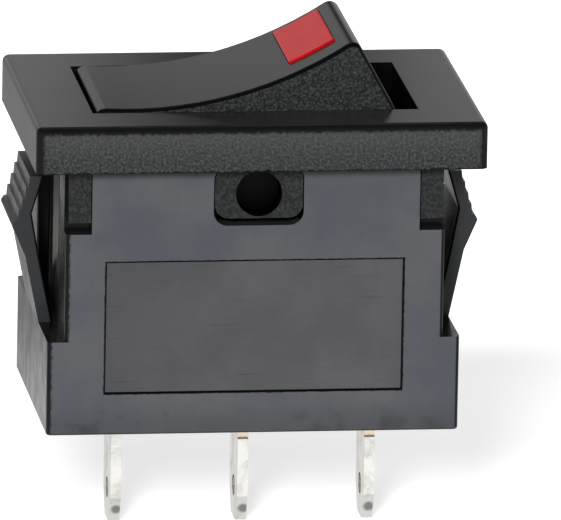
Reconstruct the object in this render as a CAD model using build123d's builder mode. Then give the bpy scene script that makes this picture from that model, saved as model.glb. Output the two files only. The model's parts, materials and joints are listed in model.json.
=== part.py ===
"""Snap-in illuminated rocker switch, in millimetres.

The panel's outer face is the plane z = 0, which the bezel's underside rests on. +Z points out of
the panel, X runs along the switch and Y across it. The rocker is drawn with its -X end pressed,
which is its rest position, and tilts about the Y axis through both lugs of the bezel frame.
"""

import os
from math import asin, cos, radians, sin, sqrt, tan

from build123d import *

os.makedirs("parts", exist_ok=True)


# ---------------------------------------------------------------- driving dimensions

# bezel frame
bezel_length = 21.0
bezel_width = 15.0
bezel_height = 2.2
bezel_top_radius = 0.3
bezel_corner_radius = 0.35
opening_length = 15.2
opening_width = 9.3
lug_width = 4.1
lug_depth = 2.48
lug_corner_radius = 0.67
corner_tab_length = 1.05
corner_tab_thickness = 0.7
corner_tab_depth = 2.6
corner_tab_inset = 0.11

# pivot of the rocker
pivot_depth = 1.31
trunnion_radius = 1.03
trunnion_clearance = 0.05
trunnion_recess = 1.05
half_throw = 14.6

# housing base
body_shift = -0.12  # its outside stands this far along X from the middle of the bezel
body_width = 12.64
cavity_lip = 0.09
ledge_width = 0.785
ledge_depth = 8.29
body_depth = 12.76
end_wall = 1.16
back_post_reach = 0.2  # the two posts at the back stand this much further out
side_wall = 1.12
floor_thickness = 1.86
body_edge_radius = 0.25
body_foot_radius = 0.12
channel_width = 7.0
channel_depth = 0.45
channel_edge_radius = 0.15
seam_position = 2.3
seam_size = 0.08
panel_recess_length = 13.94
panel_recess_top = 4.49
panel_recess_bottom = 10.8
panel_recess_depth = 0.12
panel_groove_width = 0.07
panel_groove_depth = 0.22
notch_side_gap = 0.05
notch_end_gap = 0.35
corner_notch_gap = 0.05
corner_notch_end_gap = 0.56

# snap arms moulded on the ends of the base
arm_width = 5.0
arm_top = 1.3
arm_tip_reach = 0.49
arm_barb_reach = 1.28
arm_barb_depth = 3.65
arm_barb_radius = 0.12
arm_knee_depth = 5.1
arm_knee_reach = 0.655
arm_thickness = 0.65
arm_crook_depth = 3.1
arm_crook_reach = 0.365
arm_edge_radius = 0.12
ratchet_steps = 4
ratchet_end_depth = 3.4
ratchet_end_reach = 1.13
ratchet_ledge = 0.11
ratchet_radius = 0.045

# rocker
rocker_end_gap = 0.18
rocker_side_gap = 0.25
dish_radius = 18.8
dish_height = 4.34
crest_radius = 0.45
rim_radius = 0.25
rocker_top_wall = 1.0
rocker_wall = 0.85
skirt_depth = 1.0
hub_radius = 2.0
stem_radius = 1.7
stem_depth = 3.0
crest_steps = 8  # rounds of the search for the point where the dish meets an end face

# window in the rocker
lens_length = 2.38
lens_width = 6.1
lens_end_margin = 2.0
lens_offset = 0.57
lens_rise = 0.1
lens_edge_radius = 0.08
lens_thickness = 1.0
lens_flange = 0.4
lens_flange_thickness = 0.45
lens_clearance = 0.03

# plunger and its spring
plunger_radius = 1.2
plunger_clearance = 0.05
plunger_tip_radius = 0.7
plunger_length = 4.64
plunger_top_depth = 0.55
plunger_nose_length = 0.6
spring_cap_thickness = 0.25
spring_wire = 0.22
wire_sides = 5  # the wire of the springs and leads is drawn with flats
spring_mean_radius = 0.85
spring_turns = 4
spring_seat_gap = 0.02

# terminals
terminal_pitch = 5.97
terminal_offset = 0.1
terminal_thickness = 0.5
terminal_width = 2.8
terminal_reach = 18.45
terminal_shoulder_width = 3.6
terminal_slot_gap = 0.05
terminal_tip_bevel = 1.3
terminal_tip_width = 1.5
terminal_tip_radius = 0.3
terminal_bend_radius = 0.3
solder_hole_radius = 0.5
solder_hole_depth = 16.95
nick_depth = 0.2
nick_height = 0.34
nick_position = 14.2

# see-saw contact lever
fulcrum_depth = 7.0
lever_thickness = 0.4
lever_width = 3.6
lever_long_arm = 5.4
lever_short_arm = 3.9
lever_rise = 6.0
lever_half_swing = 8.0
lever_seat_gap = 0.03
lever_notch_half = 0.45
lever_notch_gap = 0.1
ear_height = 0.8
lever_stop_gap = 0.06
lever_stop_length = 1.6
lever_stop_width = 3.0

# contacts
contact_position = 4.6
contact_radius = 0.9
moving_contact_height = 0.35
fixed_contact_height = 0.4
load_tab_margin = 0.18
contact_gap_closed = 0.05
rivet_shank_radius = 0.5
rivet_shank_gap = 0.02
rivet_upset_radius = 0.72
rivet_upset_height = 0.15

# lamp circuit
lamp_radius = 1.1
lamp_length = 5.6
lamp_gap = 0.1
lamp_nose_radius = 0.8
resistor_radius = 0.6
resistor_length = 3.3
resistor_gap = 0.05
lead_radius = 0.14
lead_bend = 0.4
lead_joint_gap = 0.02
sleeve_wall = 0.2
sleeve_gap = 0.04
contact_spring_wire = 0.24
contact_spring_radius = 0.62
contact_spring_turns = 4
contact_spring_margin = 2.82
contact_spring_gap = 0.06
contact_peg_radius = 0.4
contact_peg_length = 1.6
lamp_tab_depth = 4.6
lamp_tab_margin = 1.6


# ---------------------------------------------------------------- dependent sizes

pivot = Vector(0, 0, -pivot_depth)
opening_half = opening_length / 2
rocker_reach = opening_half - rocker_end_gap
rocker_half_width = opening_width / 2 - rocker_side_gap
lens_position = rocker_reach - lens_end_margin - lens_length / 2
contact_spring_position = rocker_reach - contact_spring_margin
lamp_tab_reach = contact_spring_position - lamp_tab_margin
resistor_position = stem_radius + resistor_gap + resistor_radius
cavity_length = opening_length + 2 * cavity_lip
upper_length = cavity_length + 2 * end_wall
corner_tab_reach = upper_length / 2 - corner_tab_inset
lower_length = upper_length + 2 * ledge_width
post_width = (body_width - channel_width) / 2
cavity_width = body_width - 2 * side_wall
floor_top = -(body_depth - floor_thickness)
stem_bore = plunger_radius + plunger_clearance
terminal_places = {
    "terminal_lamp": terminal_offset - terminal_pitch,
    "terminal_common": terminal_offset,
    "terminal_load": terminal_offset + terminal_pitch,
}


def tilted(degrees_up, origin):
    """A side plane, seen from -Y, whose x axis rises by this angle towards +X."""
    turn = radians(degrees_up)
    return Plane(origin=origin, x_dir=(cos(turn), 0, sin(turn)), z_dir=(0, -1, 0))


rocker_side = tilted(half_throw, pivot)
lens_side = rocker_side.offset(-lens_offset)
rocker_up = Axis(pivot, rocker_side.y_dir)


def rocker_plan(height):
    """A plane across the rocker, square to its stem, at this height over the pivot."""
    origin = pivot + rocker_side.y_dir * height
    return Plane(origin=origin, x_dir=rocker_side.x_dir, z_dir=rocker_side.y_dir)


def rocker_point(along, across, height):
    """A point given along, across and up the rocker, in the switch's frame."""
    return pivot + rocker_side.x_dir * along + Vector(0, across, 0) + rocker_side.y_dir * height


def dish(along, depth=0.0):
    """Height of the rocker's dished top, or of a face that lies this deep under it."""
    radius = dish_radius + depth
    return dish_height + dish_radius - sqrt(radius**2 - along**2)


def rocker_outline(inset_top, inset_end, low):
    """Side view of the rocker: a dished top, end faces that stand upright when pressed and
    run into an arc about the pivot, and a flat lower edge."""
    reach = rocker_reach - inset_end
    slope = radians(half_throw)
    crest = reach
    for _ in range(crest_steps):
        crest = (reach - dish(crest, inset_top) * sin(slope)) / cos(slope)
    height = dish(crest, inset_top)
    tangent = (reach * cos(slope), reach * sin(slope))
    foot = (sqrt(reach**2 - low**2), low)
    bulge = (reach, 0)
    ThreePointArc((-crest, height), (0, dish(0, inset_top)), (crest, height))
    Line((crest, height), tangent)
    ThreePointArc(tangent, bulge, foot)
    Line(foot, (-foot[0], foot[1]))
    ThreePointArc((-foot[0], foot[1]), (-bulge[0], bulge[1]), (-tangent[0], tangent[1]))
    Line((-tangent[0], tangent[1]), (-crest, height))


def dish_sector(half_length, top_depth, bottom_depth):
    """Side view of a slab under the dished top, centred on the window."""
    centre_angle = asin(lens_position / dish_radius)
    spread = asin(half_length / dish_radius)
    corners = []
    for depth in (top_depth, bottom_depth):
        for angle in (centre_angle - spread, centre_angle + spread):
            radius = dish_radius + depth
            corners.append((radius * sin(angle), dish_height + dish_radius - radius * cos(angle)))
    near_top, far_top, near_low, far_low = corners
    RadiusArc(near_top, far_top, -(dish_radius + top_depth))
    Line(far_top, far_low)
    RadiusArc(far_low, near_low, dish_radius + bottom_depth)
    Line(near_low, near_top)


# ---------------------------------------------------------------- bezel frame

with BuildPart() as bezel_frame:
    with BuildSketch():
        Rectangle(bezel_length, bezel_width)
        fillet(vertices(), bezel_corner_radius)
    extrude(amount=bezel_height)
    fillet(bezel_frame.faces().sort_by(Axis.Z)[-1].edges(), bezel_top_radius)
    with BuildSketch():
        Rectangle(opening_length, opening_width)
    extrude(amount=bezel_height, mode=Mode.SUBTRACT)
    for side in (-1, 1):
        with BuildSketch(Plane.XZ.offset(side * body_width / 2)) as lug:
            with Locations((0, -lug_depth / 2)):
                Rectangle(lug_width, lug_depth)
            fillet(lug.vertices().group_by(Axis.Z)[0], lug_corner_radius)
        extrude(amount=-side * (body_width - opening_width) / 2)
        with BuildSketch(Plane.XZ.offset(side * body_width / 2)):
            for end in (-1, 1):
                middle = body_shift + end * (corner_tab_reach - corner_tab_length / 2)
                with Locations((middle, -corner_tab_depth / 2)):
                    Rectangle(corner_tab_length, corner_tab_depth)
        extrude(amount=-side * corner_tab_thickness)
    with Locations(Location(pivot, (90, 0, 0))):
        Cylinder(trunnion_radius + trunnion_clearance, bezel_width, mode=Mode.SUBTRACT)
bezel_frame.part.label = "bezel_frame"


# ---------------------------------------------------------------- housing base with its snap arms


def arm_outline():
    """Side view of the +X snap arm, from the floor of the base up: a leaf that leans outwards to
    a barb, and over the barb the ratchet that grips panels of different thickness."""
    face = body_shift + lower_length / 2
    tooth_height = (ratchet_end_depth - arm_top) / ratchet_steps
    tooth_reach = (ratchet_end_reach - arm_tip_reach) / ratchet_steps
    points = [
        (face, -ledge_depth - floor_thickness),
        (face, -ledge_depth),
        (face + arm_knee_reach, -arm_knee_depth),
        (face + arm_barb_reach, -arm_barb_depth),
    ]
    for tooth in range(ratchet_steps, 0, -1):
        reach = face + arm_tip_reach + tooth * tooth_reach
        height = -arm_top - tooth * tooth_height
        points += [(reach, height), (reach - ratchet_ledge, height)]
    points += [
        (face + arm_tip_reach, -arm_top),
        (face + arm_tip_reach - arm_thickness, -arm_top),
        (face + arm_crook_reach, -arm_crook_depth),
        (face + arm_knee_reach - arm_thickness, -arm_knee_depth),
        (face - arm_thickness, -ledge_depth),
        (face - arm_thickness, -ledge_depth - floor_thickness),
    ]
    return points


with BuildPart() as housing_base:
    # lower body, and the narrower upper body with a channel behind each arm
    with BuildSketch(Plane.XY.offset(-body_depth)):
        with Locations((body_shift, 0)):
            Rectangle(lower_length, body_width)
        fillet(vertices(), body_edge_radius)
        for end in (-1, 1):
            with Locations((body_shift + end * lower_length / 2, -end * seam_position)):
                Rectangle(2 * seam_size, seam_size, mode=Mode.SUBTRACT)
    extrude(amount=body_depth - ledge_depth)
    with BuildSketch(Plane.XY.offset(-ledge_depth)) as upper_plan:
        with Locations((body_shift, 0)):
            Rectangle(upper_length, body_width)
        with Locations((body_shift, (body_width - post_width) / 2)):
            Rectangle(upper_length + 2 * back_post_reach, post_width)
        post_corners = upper_plan.vertices().group_by(Axis.Y)
        fillet(post_corners[0] + post_corners[-1], body_edge_radius)
        for end in (-1, 1):
            with Locations((body_shift + end * upper_length / 2, 0)):
                Rectangle(2 * channel_depth, channel_width, mode=Mode.SUBTRACT)
        channel_side = channel_width / 2 + channel_edge_radius
        channel_corners = upper_plan.vertices().filter_by_position(Axis.Y, -channel_side, channel_side)
        fillet(channel_corners, channel_edge_radius)
    extrude(amount=ledge_depth)
    fillet(housing_base.faces().sort_by(Axis.Z)[0].edges(), body_foot_radius)

    # snap arms
    with BuildSketch(Plane.XZ) as arm_side:
        with BuildLine():
            Polyline(*arm_outline(), close=True)
        make_face()
        face = body_shift + lower_length / 2
        outer_corners = arm_side.vertices().filter_by_position(
            Axis.X, face + arm_tip_reach, face + arm_barb_reach
        )
        barb = outer_corners.sort_by(Axis.X)[-1]
        teeth = outer_corners.filter_by_position(Axis.Z, -ratchet_end_depth, -arm_top - ratchet_radius)
        fillet(barb, arm_barb_radius)
        fillet(teeth, ratchet_radius)
        mirror(about=Plane.YZ.offset(body_shift))
    extrude(amount=arm_width / 2, both=True)
    inner_edges = []
    foot_level = arm_edge_radius - ledge_depth
    tip_level = -arm_edge_radius - arm_top
    for edge in housing_base.edges().filter_by_position(Axis.Z, foot_level, tip_level):
        reach = abs(edge.center().X - body_shift) - lower_length / 2
        across = abs(edge.center().Y) - arm_width / 2
        if reach < arm_knee_reach / 2 - arm_edge_radius and abs(across) < arm_edge_radius / 2:
            inner_edges.append(edge)
    fillet(inner_edges, arm_edge_radius)

    # cavity
    with BuildSketch(Plane.XY.offset(floor_top)):
        Rectangle(cavity_length, cavity_width)
    extrude(amount=-floor_top, mode=Mode.SUBTRACT)

    # notches for the lugs and corner tabs of the bezel frame, and the recessed panels
    for side in (-1, 1):
        notch_depth = lug_depth + notch_end_gap
        with BuildSketch(Plane.XZ.offset(side * body_width / 2)) as notch:
            with Locations((0, -notch_depth / 2)):
                Rectangle(lug_width + 2 * notch_side_gap, notch_depth)
            fillet(notch.vertices().group_by(Axis.Z)[0], lug_corner_radius)
        extrude(amount=-side * side_wall, mode=Mode.SUBTRACT)
        tab_notch = 2 * (corner_tab_length + corner_notch_gap)
        tab_depth = corner_tab_depth + corner_notch_end_gap
        with BuildSketch(Plane.XZ.offset(side * body_width / 2)):
            for end in (-1, 1):
                with Locations((body_shift + end * corner_tab_reach, -tab_depth / 2)):
                    Rectangle(tab_notch, tab_depth)
        extrude(amount=-side * (corner_tab_thickness + notch_side_gap), mode=Mode.SUBTRACT)
        panel_height = panel_recess_bottom - panel_recess_top
        panel_middle = (body_shift, -(panel_recess_top + panel_recess_bottom) / 2)
        with BuildSketch(Plane.XZ.offset(side * body_width / 2)):
            with Locations(panel_middle):
                Rectangle(panel_recess_length, panel_height)
        extrude(amount=-side * panel_recess_depth, mode=Mode.SUBTRACT)
        with BuildSketch(Plane.XZ.offset(side * body_width / 2)) as groove:
            with Locations(panel_middle):
                Rectangle(panel_recess_length, panel_height)
                Rectangle(
                    panel_recess_length - 2 * panel_groove_width,
                    panel_height - 2 * panel_groove_width,
                    mode=Mode.SUBTRACT,
                )
        extrude(amount=-side * panel_groove_depth, mode=Mode.SUBTRACT)

    # stop under the short arm of the contact lever
    low_wing = radians(lever_half_swing - lever_rise)
    stop_x = lever_short_arm - lever_stop_length / 2
    stop_top = -fulcrum_depth - lever_short_arm * tan(low_wing) - lever_stop_gap
    with BuildSketch(Plane.XY.offset(floor_top)):
        with Locations((-stop_x, 0)):
            Rectangle(lever_stop_length, lever_stop_width)
    extrude(amount=stop_top - floor_top)

    # slots for the terminals
    slot_thickness = terminal_thickness + 2 * terminal_slot_gap
    slot_width = terminal_width + 2 * terminal_slot_gap
    with BuildSketch(Plane.XY.offset(-body_depth)):
        for place in terminal_places.values():
            with Locations((place, 0)):
                Rectangle(slot_thickness, slot_width)
    extrude(amount=floor_thickness, mode=Mode.SUBTRACT)
housing_base.part.label = "housing_base"


# ---------------------------------------------------------------- rocker

with BuildPart() as rocker:
    with BuildSketch(rocker_side):
        with BuildLine():
            rocker_outline(0, 0, -skirt_depth)
        make_face()
    extrude(amount=rocker_half_width, both=True)
    fillet(rocker.edges().filter_by(Axis.Y).group_by(rocker_up)[-1], crest_radius)
    rims = rocker.faces().filter_by(Axis.Y).edges().sort_by(rocker_up)[2:]
    fillet(rims, rim_radius)
    with BuildSketch(rocker_side):
        with BuildLine():
            rocker_outline(rocker_top_wall, rocker_wall, -skirt_depth)
        make_face()
    extrude(amount=rocker_half_width - rocker_wall, both=True, mode=Mode.SUBTRACT)

    # hubs and trunnions
    for side in (-1, 1):
        with BuildSketch(rocker_side.offset(side * (rocker_half_width - rocker_wall))):
            Circle(hub_radius)
        extrude(amount=side * rocker_wall)
        trunnion_end = body_width / 2 - trunnion_recess
        with BuildSketch(rocker_side.offset(side * rocker_half_width)):
            Circle(trunnion_radius)
        extrude(amount=side * (trunnion_end - rocker_half_width))

    # stem that guides the plunger, and the peg inside the lamp's contact spring
    bore_top = dish(0, rocker_top_wall)
    with BuildSketch(rocker_plan(-stem_depth)):
        Circle(stem_radius)
    extrude(amount=stem_depth + bore_top + rocker_top_wall / 2)
    with BuildSketch(rocker_plan(-stem_depth)):
        Circle(stem_bore)
    extrude(amount=stem_depth + bore_top, mode=Mode.SUBTRACT)
    with BuildSketch(rocker_plan(bore_top - 2 * spring_cap_thickness)):
        with Locations((stem_radius, 0)):
            Rectangle(2 * stem_radius, 4 * lead_radius)
    extrude(amount=2 * spring_cap_thickness, mode=Mode.SUBTRACT)
    peg_top = dish(contact_spring_position, rocker_top_wall)
    with BuildSketch(rocker_plan(peg_top - contact_peg_length)):
        with Locations((-contact_spring_position, 0)):
            Circle(contact_peg_radius)
    extrude(amount=contact_peg_length + rocker_top_wall / 2)

    # window for the lens, with a step for the flange at each end of it
    with BuildSketch(lens_side):
        with BuildLine():
            dish_sector(lens_length / 2 + lens_clearance, -rim_radius, rocker_top_wall)
        make_face()
    extrude(amount=lens_width / 2 + lens_clearance, both=True, mode=Mode.SUBTRACT)
    with BuildSketch(lens_side):
        with BuildLine():
            flange_top = lens_thickness - lens_flange_thickness - lens_clearance
            dish_sector(lens_length / 2 + lens_flange + lens_clearance, flange_top, 2 * rocker_top_wall)
        make_face()
    extrude(amount=lens_width / 2 + lens_clearance, both=True, mode=Mode.SUBTRACT)
rocker.part.label = "rocker"

with BuildPart() as rocker_lens:
    with BuildSketch(lens_side):
        with BuildLine():
            dish_sector(lens_length / 2, -lens_rise, lens_thickness)
        make_face()
    extrude(amount=lens_width / 2, both=True)
    fillet(rocker_lens.faces().sort_by(rocker_up)[-1].edges(), lens_edge_radius)
    with BuildSketch(lens_side):
        with BuildLine():
            dish_sector(
                lens_length / 2 + lens_flange, lens_thickness - lens_flange_thickness, lens_thickness
            )
        make_face()
    extrude(amount=lens_width / 2, both=True)
rocker_lens.part.label = "rocker_lens"


# ---------------------------------------------------------------- plunger, spring and cap

plunger_bottom = -(plunger_top_depth + plunger_length)
tip_centre = plunger_bottom + plunger_tip_radius

with BuildPart() as plunger:
    with BuildSketch(rocker_side) as plunger_section:
        with BuildLine():
            shoulder = tip_centre + plunger_nose_length
            Polyline(
                (0, -plunger_top_depth),
                (plunger_radius, -plunger_top_depth),
                (plunger_radius, shoulder),
                (plunger_tip_radius, tip_centre),
            )
            RadiusArc((plunger_tip_radius, tip_centre), (0, plunger_bottom), plunger_tip_radius)
            Line((0, plunger_bottom), (0, -plunger_top_depth))
        make_face()
    revolve(axis=rocker_up)
plunger.part.label = "plunger"

cap_bottom = bore_top - spring_cap_thickness

with BuildPart() as spring_cap:
    with BuildSketch(rocker_plan(cap_bottom)):
        Circle(plunger_radius)
    extrude(amount=spring_cap_thickness)
spring_cap.part.label = "spring_cap"


def coil(along, low, high, mean_radius, turns):
    """Centre line of a coil spring that stands along the rocker's stem direction."""
    return Helix(
        pitch=(high - low) / turns,
        height=high - low,
        radius=mean_radius,
        center=rocker_point(along, 0, low),
        direction=rocker_side.y_dir,
    )


with BuildPart() as plunger_spring:
    low = -plunger_top_depth + spring_seat_gap + spring_wire / 2
    high = cap_bottom - spring_seat_gap - spring_wire / 2
    with BuildLine() as spring_path:
        coil(0, low, high, spring_mean_radius, spring_turns)
    with BuildSketch(Plane(spring_path.line @ 0, z_dir=spring_path.line % 0)):
        RegularPolygon(spring_wire / 2, wire_sides)
    sweep(path=spring_path.line, is_frenet=True)
plunger_spring.part.label = "plunger_spring"


# ---------------------------------------------------------------- terminals


def blade(top):
    """Outline of a terminal seen from its flat side: a bevelled tip below, and over the floor of
    the housing the shoulders that stop it."""
    half = terminal_width / 2
    shoulder = terminal_shoulder_width / 2
    low = -terminal_reach
    Polyline(
        (-half, floor_top),
        (-half, low + terminal_tip_bevel),
        (-terminal_tip_width / 2, low),
        (terminal_tip_width / 2, low),
        (half, low + terminal_tip_bevel),
        (half, floor_top),
        (shoulder, floor_top),
        (shoulder, top),
        (-shoulder, top),
        (-shoulder, floor_top),
        close=True,
    )


def blade_plane(place):
    """The flat side of the terminal that stands here, with its x axis along Y."""
    return Plane(origin=(place - terminal_thickness / 2, 0, 0), x_dir=(0, 1, 0), z_dir=(1, 0, 0))


def nicks():
    """Small locking nicks in both edges of a blade, just under the housing."""
    for side in (-1, 1):
        with Locations((side * terminal_width / 2, -nick_position)):
            Rectangle(2 * nick_depth, nick_height, mode=Mode.SUBTRACT)


def round_tip(section):
    """Round the corners of a blade's tip."""
    tip_top = terminal_tip_bevel - terminal_reach
    fillet(section.vertices().filter_by_position(Axis.Z, -terminal_reach, tip_top), terminal_tip_radius)


def solder_hole():
    with Locations((0, -solder_hole_depth)):
        Circle(solder_hole_radius, mode=Mode.SUBTRACT)


def bent_tab(place, top, end):
    """Side view of a terminal's inner end, folded over towards the middle of the switch."""
    inward = -1 if place > 0 else 1
    outer = place - inward * terminal_thickness / 2
    inner = place + inward * terminal_thickness / 2
    outside = terminal_bend_radius + terminal_thickness
    fold_low = top - outside
    centre = (inner + inward * terminal_bend_radius, fold_low)
    half_turn = sin(radians(45))
    outer_mid = (centre[0] - inward * outside * half_turn, fold_low + outside * half_turn)
    inner_mid = (
        centre[0] - inward * terminal_bend_radius * half_turn,
        fold_low + terminal_bend_radius * half_turn,
    )
    ThreePointArc((outer, fold_low), outer_mid, (centre[0], top))
    Line((centre[0], top), (end, top))
    Line((end, top), (end, top - terminal_thickness))
    Line((end, top - terminal_thickness), (centre[0], top - terminal_thickness))
    ThreePointArc((centre[0], top - terminal_thickness), inner_mid, (inner, fold_low))
    Line((inner, fold_low), (outer, fold_low))


# the lever see-saws about the top edge of the common terminal; its long arm is down at rest
fulcrum = Vector(terminal_offset, 0, -fulcrum_depth)
lever_side = tilted(-lever_half_swing, fulcrum + Vector(0, 0, lever_seat_gap))
wing_side = tilted(lever_rise - lever_half_swing, lever_side.origin)
lever_waist = lever_width - 4 * lever_notch_half
contact_centre = lever_side.origin + wing_side.x_dir * contact_position
contact_seat = Plane(origin=contact_centre, x_dir=wing_side.x_dir, z_dir=-wing_side.y_dir)
contact_x = contact_centre.X
moving_face = (contact_centre - wing_side.y_dir * moving_contact_height).Z
rivet_tilt = contact_radius * sin(radians(lever_half_swing - lever_rise))
load_tab_top = moving_face - rivet_tilt - contact_gap_closed - fixed_contact_height
fold = terminal_bend_radius + terminal_thickness

with BuildPart() as terminal_lamp:
    place = terminal_places["terminal_lamp"]
    with BuildSketch(blade_plane(place)) as section:
        with BuildLine():
            blade(-lamp_tab_depth - fold)
        make_face()
        round_tip(section)
        solder_hole()
    extrude(amount=terminal_thickness)
    with BuildSketch(Plane.XZ):
        with BuildLine():
            bent_tab(place, -lamp_tab_depth, -lamp_tab_reach)
        make_face()
    extrude(amount=terminal_shoulder_width / 2, both=True)
terminal_lamp.part.label = "terminal_lamp"

with BuildPart() as terminal_common:
    place = terminal_places["terminal_common"]
    with BuildSketch(blade_plane(place)) as section:
        with BuildLine():
            blade(-fulcrum_depth + ear_height)
        make_face()
        round_tip(section)
        solder_hole()
        nicks()
        with Locations((0, -fulcrum_depth + ear_height / 2)):
            Rectangle(lever_waist + 2 * lever_notch_gap, ear_height, mode=Mode.SUBTRACT)
    extrude(amount=terminal_thickness)
terminal_common.part.label = "terminal_common"

with BuildPart() as terminal_load:
    place = terminal_places["terminal_load"]
    with BuildSketch(blade_plane(place)) as section:
        with BuildLine():
            blade(load_tab_top - fold)
        make_face()
        round_tip(section)
        solder_hole()
        nicks()
    extrude(amount=terminal_thickness)
    with BuildSketch(Plane.XZ):
        with BuildLine():
            bent_tab(place, load_tab_top, contact_x - contact_radius - load_tab_margin)
        make_face()
    extrude(amount=terminal_shoulder_width / 2, both=True)
    with BuildSketch(Plane.XY.offset(load_tab_top)):
        with Locations((contact_x, 0)):
            Circle(rivet_shank_radius + rivet_shank_gap)
    extrude(amount=-terminal_thickness, mode=Mode.SUBTRACT)
terminal_load.part.label = "terminal_load"


# ---------------------------------------------------------------- contact lever and rivets

rise = tan(radians(lever_rise))
sheet_height = lever_thickness / cos(radians(lever_rise))

with BuildPart() as contact_lever:
    with BuildSketch(lever_side):
        with BuildLine():
            Polyline(
                (0, 0),
                (lever_long_arm, lever_long_arm * rise),
                (lever_long_arm, lever_long_arm * rise + sheet_height),
                (0, sheet_height),
                (-lever_short_arm, lever_short_arm * rise + sheet_height),
                (-lever_short_arm, lever_short_arm * rise),
                close=True,
            )
        make_face()
    extrude(amount=lever_width / 2, both=True)
    # waist between the ears of the common terminal
    for side in (-1, 1):
        with BuildSketch(lever_side.offset(side * lever_waist / 2)):
            Rectangle(2 * lever_notch_half, 4 * lever_thickness)
        extrude(amount=side * lever_width, mode=Mode.SUBTRACT)
    with BuildSketch(contact_seat):
        Circle(rivet_shank_radius + rivet_shank_gap)
    extrude(amount=-lever_thickness, mode=Mode.SUBTRACT)
contact_lever.part.label = "contact_lever"


def rivet_section(head_height, grip):
    """Half section of a contact rivet, drawn against its axis: the head stands on the strip, the
    shank goes through it and is upset behind."""
    Polyline(
        (0, head_height),
        (contact_radius, head_height),
        (contact_radius, 0),
        (rivet_shank_radius, 0),
        (rivet_shank_radius, -grip),
        (rivet_upset_radius, -grip),
        (rivet_upset_radius, -grip - rivet_upset_height),
        (0, -grip - rivet_upset_height),
        close=True,
    )


moving_side = Plane(contact_seat.origin, contact_seat.x_dir, contact_seat.x_dir.cross(contact_seat.z_dir))

with BuildPart() as moving_contact:
    with BuildSketch(moving_side):
        with BuildLine():
            rivet_section(moving_contact_height, lever_thickness)
        make_face()
    revolve(axis=Axis(contact_seat.origin, contact_seat.z_dir))
moving_contact.part.label = "moving_contact"

rivet_side = Plane(origin=(contact_x, 0, load_tab_top), x_dir=(1, 0, 0), z_dir=(0, -1, 0))

with BuildPart() as fixed_contact:
    with BuildSketch(rivet_side):
        with BuildLine():
            rivet_section(fixed_contact_height, terminal_thickness)
        make_face()
    revolve(axis=Axis(rivet_side.origin, (0, 0, 1)))
fixed_contact.part.label = "fixed_contact"


# ---------------------------------------------------------------- lamp circuit inside the rocker

lamp_angle = asin(lens_position / dish_radius)
lamp_arm = dish_radius + lens_thickness + lamp_gap + lamp_radius
lamp_along = lamp_arm * sin(lamp_angle)
lamp_height = dish_height + dish_radius - lamp_arm * cos(lamp_angle)
lead_spread = bore_top - spring_cap_thickness / 2 - lamp_height
resistor_height = dish(resistor_position, rocker_top_wall) - resistor_gap - resistor_radius

with BuildPart() as lamp:
    lamp_axis = Axis(rocker_point(lamp_along, 0, lamp_height), (0, 1, 0))
    lamp_section = Plane(origin=lamp_axis.position, x_dir=(0, 1, 0), z_dir=rocker_side.x_dir)
    with BuildSketch(lamp_section):
        with BuildLine():
            half = lamp_length / 2
            Polyline(
                (half - lamp_nose_radius, lamp_radius),
                (-half, lamp_radius),
                (-half, 0),
                (half, 0),
                (half, lamp_radius - lamp_nose_radius),
            )
            RadiusArc(
                (half, lamp_radius - lamp_nose_radius),
                (half - lamp_nose_radius, lamp_radius),
                -lamp_nose_radius,
            )
        make_face()
    revolve(axis=lamp_axis)
lamp.part.label = "lamp"

with BuildPart() as lamp_resistor:
    with BuildSketch(rocker_side.offset(resistor_length / 2)):
        with Locations((-resistor_position, resistor_height)):
            Circle(resistor_radius)
    extrude(amount=-resistor_length)
    chamfer(lamp_resistor.edges(), resistor_radius / 3)
lamp_resistor.part.label = "lamp_resistor"

lead_y = -(rocker_half_width - rocker_wall - lead_radius - sleeve_gap - sleeve_wall - lead_joint_gap)
sleeve_height = lamp_height - 2 * lamp_radius + sleeve_wall
lamp_end = -(lamp_length / 2 + lead_joint_gap)
resistor_end = resistor_length / 2 + lead_joint_gap
cap_height = bore_top - spring_cap_thickness / 2
coil_side = contact_spring_radius + contact_spring_wire / 2 + lead_joint_gap
lead_routes = {
    "lamp_lead_common": [
        (lamp_along, lamp_end, cap_height),
        (lamp_along, lead_y, cap_height),
        (stem_radius + 2 * lead_bend, lead_y, cap_height),
        (stem_radius + 2 * lead_bend, 0, cap_height),
        (plunger_radius + lead_joint_gap, 0, cap_height),
    ],
    "lamp_lead_resistor": [
        (lamp_along, lamp_end, lamp_height - lead_spread),
        (lamp_along, lead_y, lamp_height - lead_spread),
        (lamp_along, lead_y, sleeve_height),
        (-resistor_position, lead_y, sleeve_height),
        (-resistor_position, lead_y, resistor_height),
        (-resistor_position, -resistor_end, resistor_height),
    ],
    "lamp_lead_contact": [
        (-resistor_position, resistor_end, resistor_height),
        (-resistor_position, resistor_end + 2 * lead_bend, resistor_height),
        (-contact_spring_position, resistor_end + 2 * lead_bend, resistor_height),
        (-contact_spring_position, coil_side, resistor_height),
    ],
}
leads = []
for name, route in lead_routes.items():
    with BuildPart() as lead:
        with BuildLine() as lead_path:
            FilletPolyline(*[rocker_point(*point) for point in route], radius=lead_bend / 2)
        with BuildSketch(Plane(lead_path.line @ 0, z_dir=lead_path.line % 0)):
            RegularPolygon(lead_radius, wire_sides)
        sweep(path=lead_path.line)
    lead.part.label = name
    leads.append(lead)

with BuildPart() as lead_sleeve:
    sleeve_start = lamp_along - 2 * lead_bend
    sleeve_end = -resistor_position + 2 * lead_bend
    sleeve_plane = Plane(origin=rocker_point(sleeve_end, lead_y, sleeve_height), z_dir=rocker_side.x_dir)
    with BuildSketch(sleeve_plane):
        Circle(lead_radius + sleeve_gap + sleeve_wall)
        Circle(lead_radius + sleeve_gap, mode=Mode.SUBTRACT)
    extrude(amount=sleeve_start - sleeve_end)
lead_sleeve.part.label = "lead_sleeve"

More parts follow.
